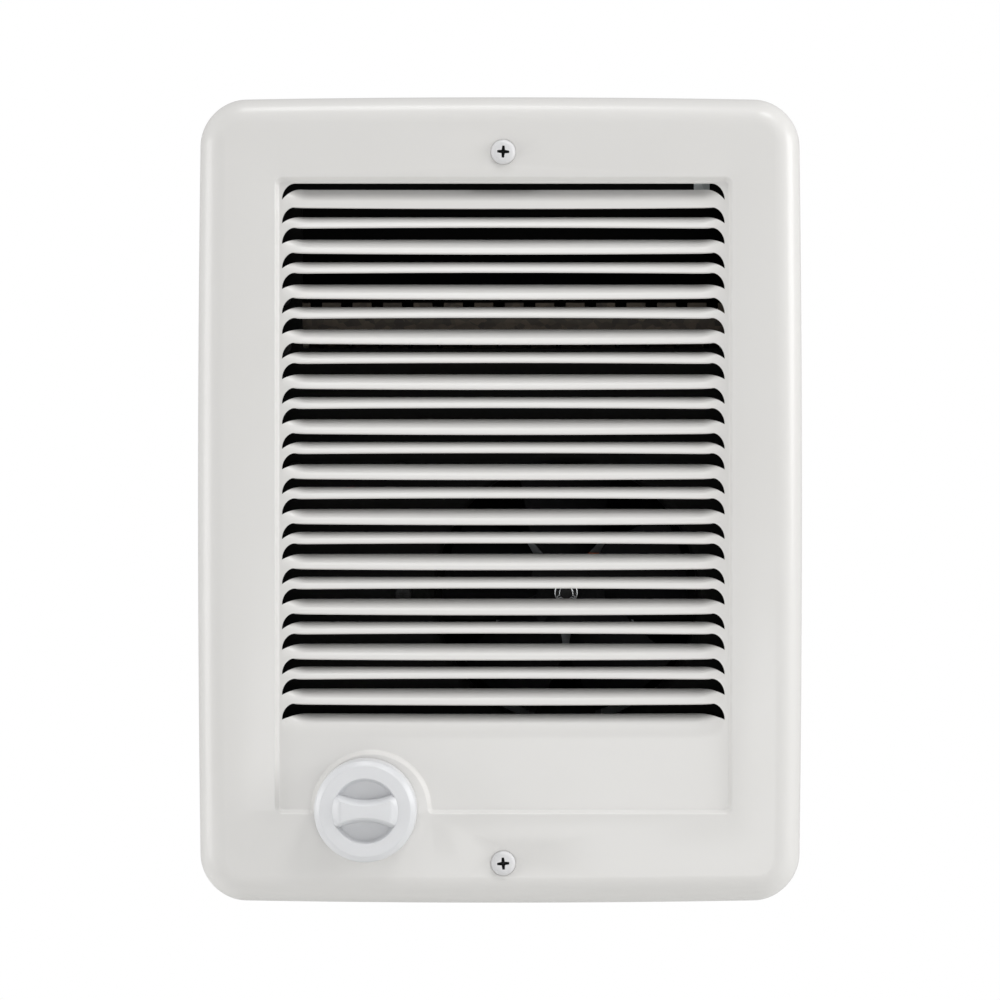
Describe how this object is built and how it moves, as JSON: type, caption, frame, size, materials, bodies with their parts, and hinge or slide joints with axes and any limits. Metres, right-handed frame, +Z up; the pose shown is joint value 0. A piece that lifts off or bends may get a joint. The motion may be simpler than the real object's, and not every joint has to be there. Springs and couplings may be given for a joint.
{
  "type": "wall fan heater",
  "caption": "Recessed in-wall fan heater with a white louvred steel grille, two screws, a thermostat knob, a fan and motor, and a ribbon element in a steel wall box.",
  "frame": {"origin": "middle of the grille's outline, on the wall surface that the grille's rim rests on", "axes": "+Z up, the front faces -Y, +Y into the wall, X across"},
  "size_m": [0.2286, 0.1347, 0.3048],
  "materials": {
    "white_powder_coat": "satin white powder coat",
    "white_screw": "white painted steel",
    "galvanised": "galvanised sheet steel",
    "deck_black": "black baked enamel",
    "zinc_screw": "zinc plated",
    "spring_steel": "spring steel, oiled",
    "green_screw": "green dyed zinc plate",
    "mica": "pressed mica board",
    "nichrome": "oxidised resistance ribbon",
    "ceramic": "unglazed steatite",
    "tinned_brass": "tinned brass",
    "aluminium": "mill finish",
    "steel_shaft": "ground steel",
    "core_steel": "laminated silicon steel",
    "copper": "enamelled copper",
    "nylon_bobbin": "natural nylon",
    "bronze": "sintered bronze",
    "zinc_cast": "die-cast zinc",
    "fibre": "vulcanised fibre",
    "phenolic_black": "phenolic moulding",
    "phenolic_brown": "phenolic moulding",
    "bimetal": "rolled bimetal",
    "knob_plastic": "satin white nylon",
    "button_red": "red nylon",
    "wire_black": "PVC insulation",
    "wire_red": "PVC insulation",
    "wire_white": "PVC insulation",
    "receptacle": "natural nylon sleeve"
  },
  "bodies": {
    "heater": {"front_grille": "white_powder_coat", "grille_screws": "white_screw", "speed_nuts": "spring_steel", "wall_can": "galvanised", "ground_screw": "green_screw", "heater_deck": "deck_black", "deck_screws": "zinc_screw", "element_rail_front": "mica", "element_rail_rear": "mica", "element_ribbon_upper": "nichrome", "element_ribbon_lower": "nichrome", "element_bracket_left": "galvanised", "element_bracket_right": "galvanised", "element_bushings": "ceramic", "element_terminals": "tinned_brass", "element_link": "tinned_brass", "element_screws": "zinc_screw", "motor_strap": "galvanised", "strap_screws": "zinc_screw", "stator_core": "core_steel", "coil_bobbin": "nylon_bobbin", "coil_winding": "copper", "shading_rings": "copper", "bearing_bracket_front": "zinc_cast", "bearing_bracket_rear": "zinc_cast", "bearing_front": "bronze", "bearing_rear": "bronze", "motor_screws": "zinc_screw", "motor_nuts": "zinc_screw", "motor_terminals": "tinned_brass", "thermostat_case": "phenolic_black", "thermostat_cover": "phenolic_brown", "thermostat_bushing": "zinc_cast", "thermostat_nut": "zinc_screw", "thermostat_bimetal": "bimetal", "thermostat_terminals": "tinned_brass", "limit_body": "phenolic_brown", "limit_cap": "aluminium", "limit_spring": "spring_steel", "limit_terminals": "tinned_brass", "limit_bracket": "galvanised", "limit_screws": "zinc_screw", "lead_line": "wire_black", "lead_neutral": "wire_white", "lead_thermostat_limit": "wire_black", "lead_limit_element": "wire_red", "lead_motor_line": "wire_black", "lead_motor_neutral": "wire_white", "push_on_connectors": "receptacle"},
    "control_knob": {"thermostat_knob": "knob_plastic", "knob_spring": "spring_steel", "thermostat_spindle": "steel_shaft"},
    "fan_rotor": {"fan_blades": "aluminium", "fan_hub": "steel_shaft", "fan_clip": "spring_steel", "rotor_shaft": "steel_shaft", "rotor": "core_steel", "thrust_washers": "fibre"},
    "reset_button": {"limit_button": "button_red"}
  },
  "joints": [
    {"name": "thermostat_turn", "type": "hinge", "parent": "heater", "child": "control_knob", "pos_m": [-0.0503, -0.02, -0.1161], "axis": [0, -1, 0], "range_deg": [-150, 150]},
    {"name": "fan_spin", "type": "hinge", "parent": "heater", "child": "fan_rotor", "pos_m": [0.0254, 0.018, -0.0356], "axis": [0, -1, 0], "continuous": true},
    {"name": "reset_press", "type": "slide", "parent": "heater", "child": "reset_button", "axis": [0, 1, 0], "range_m": [0, 0.0015], "stiffness_N_per_m": 400, "springref_m": -0.002, "deforming": ["limit_spring"]}
  ]
}
